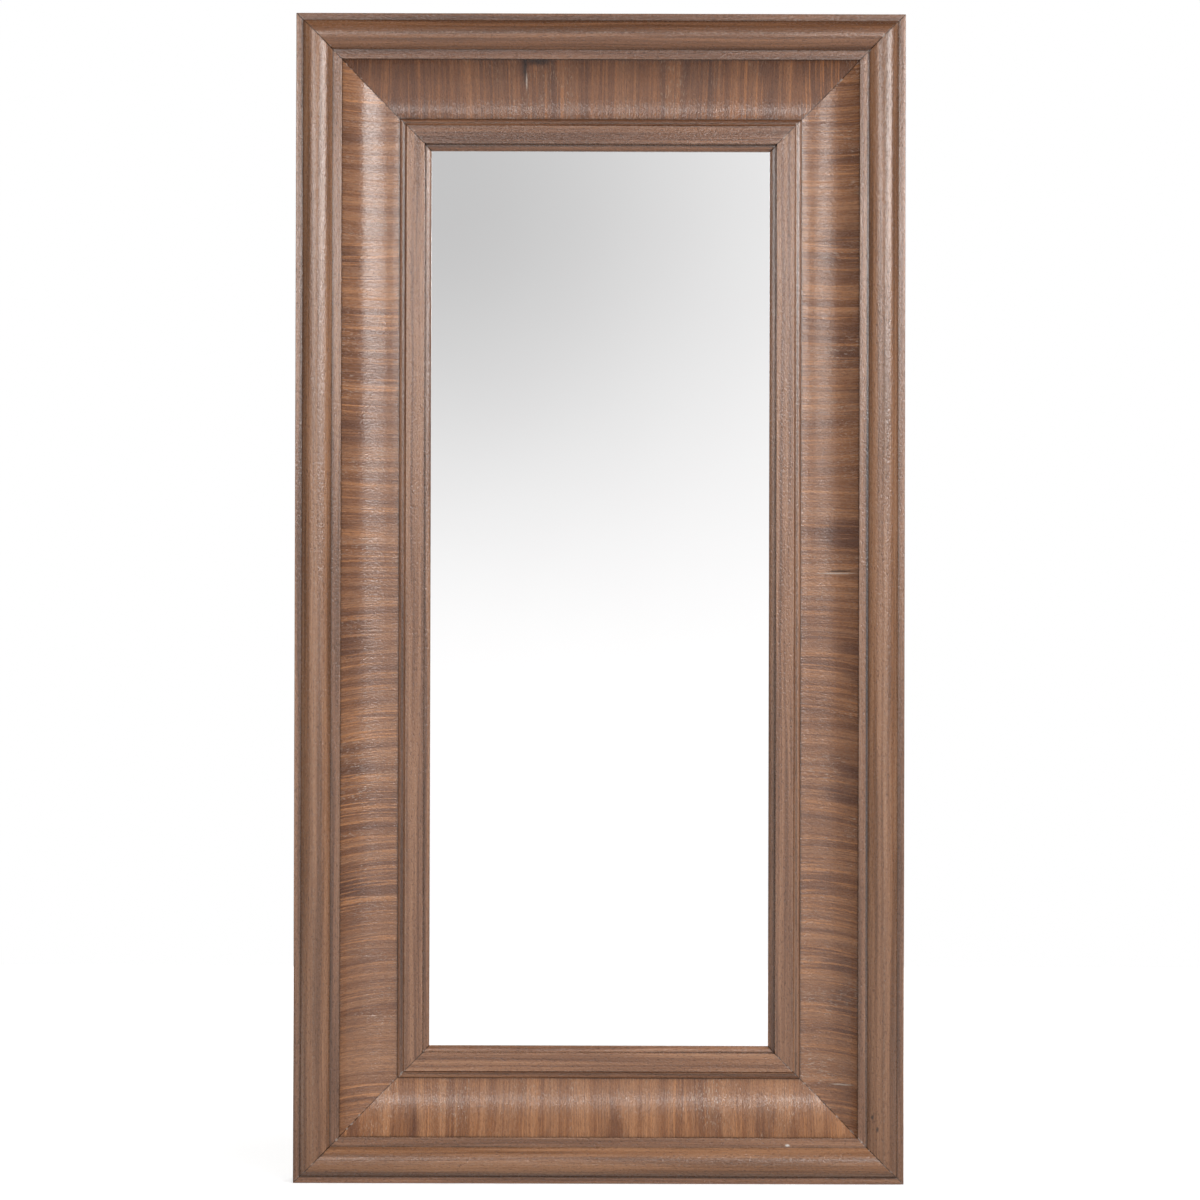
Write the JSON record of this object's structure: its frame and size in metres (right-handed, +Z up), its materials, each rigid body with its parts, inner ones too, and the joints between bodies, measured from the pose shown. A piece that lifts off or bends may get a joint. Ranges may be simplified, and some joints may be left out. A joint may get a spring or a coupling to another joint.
{
  "type": "wooden mirror",
  "caption": "Tall wall mirror in a wide mitred walnut frame: flat outer member, planted half-round moulding, cross-veneered hollow, stepped inner moulding and swinging back rings.",
  "frame": {"origin": "middle of the frame's lower edge, on the plane of the wall", "axes": "+X to the right of a person facing the mirror, +Y towards the wall, +Z up"},
  "size_m": [1.095, 0.111, 2.1],
  "materials": {
    "walnut": "satin",
    "walnut_veneer": "satin",
    "core_wood": "matte",
    "stop_wood": "matte",
    "plywood": "matte",
    "hardboard": "matte",
    "mirror": "polished",
    "setting_rubber": "matte",
    "hanger_steel": "satin",
    "screw_steel": "satin"
  },
  "bodies": {
    "frame": {"back_panel": "hardboard", "back_panel_screws": "screw_steel", "backing_rail_bottom": "plywood", "backing_rail_top": "plywood", "backing_stile_left": "plywood", "backing_stile_right": "plywood", "crossband_veneer_bottom": "walnut_veneer", "crossband_veneer_left": "walnut_veneer", "crossband_veneer_right": "walnut_veneer", "crossband_veneer_top": "walnut_veneer", "glass_stop_bottom": "stop_wood", "glass_stop_left": "stop_wood", "glass_stop_right": "stop_wood", "glass_stop_top": "stop_wood", "hanger_screws": "screw_steel", "hanger_strap_left": "hanger_steel", "hanger_strap_right": "hanger_steel", "mirror_glass": "mirror", "mitre_splines": "plywood", "outer_frame_bottom": "walnut", "outer_frame_left": "walnut", "outer_frame_right": "walnut", "outer_frame_top": "walnut", "scoop_core_bottom": "core_wood", "scoop_core_left": "core_wood", "scoop_core_right": "core_wood", "scoop_core_top": "core_wood", "setting_blocks": "setting_rubber", "sight_moulding_bottom": "walnut", "sight_moulding_left": "walnut", "sight_moulding_right": "walnut", "sight_moulding_top": "walnut", "torus_moulding_bottom": "walnut", "torus_moulding_left": "walnut", "torus_moulding_right": "walnut", "torus_moulding_top": "walnut"},
    "ring_left": {"hanger_ring_left": "hanger_steel"},
    "ring_right": {"hanger_ring_right": "hanger_steel"}
  },
  "joints": [
    {"name": "ring_left_swing", "type": "hinge", "parent": "frame", "child": "ring_left", "pos_m": [-0.41575, -0.00785, 1.65], "axis": [1, 0, 0], "range_deg": [0, 176]},
    {"name": "ring_right_swing", "type": "hinge", "parent": "frame", "child": "ring_right", "pos_m": [0.41575, -0.00785, 1.65], "axis": [1, 0, 0], "range_deg": [0, 176]}
  ]
}
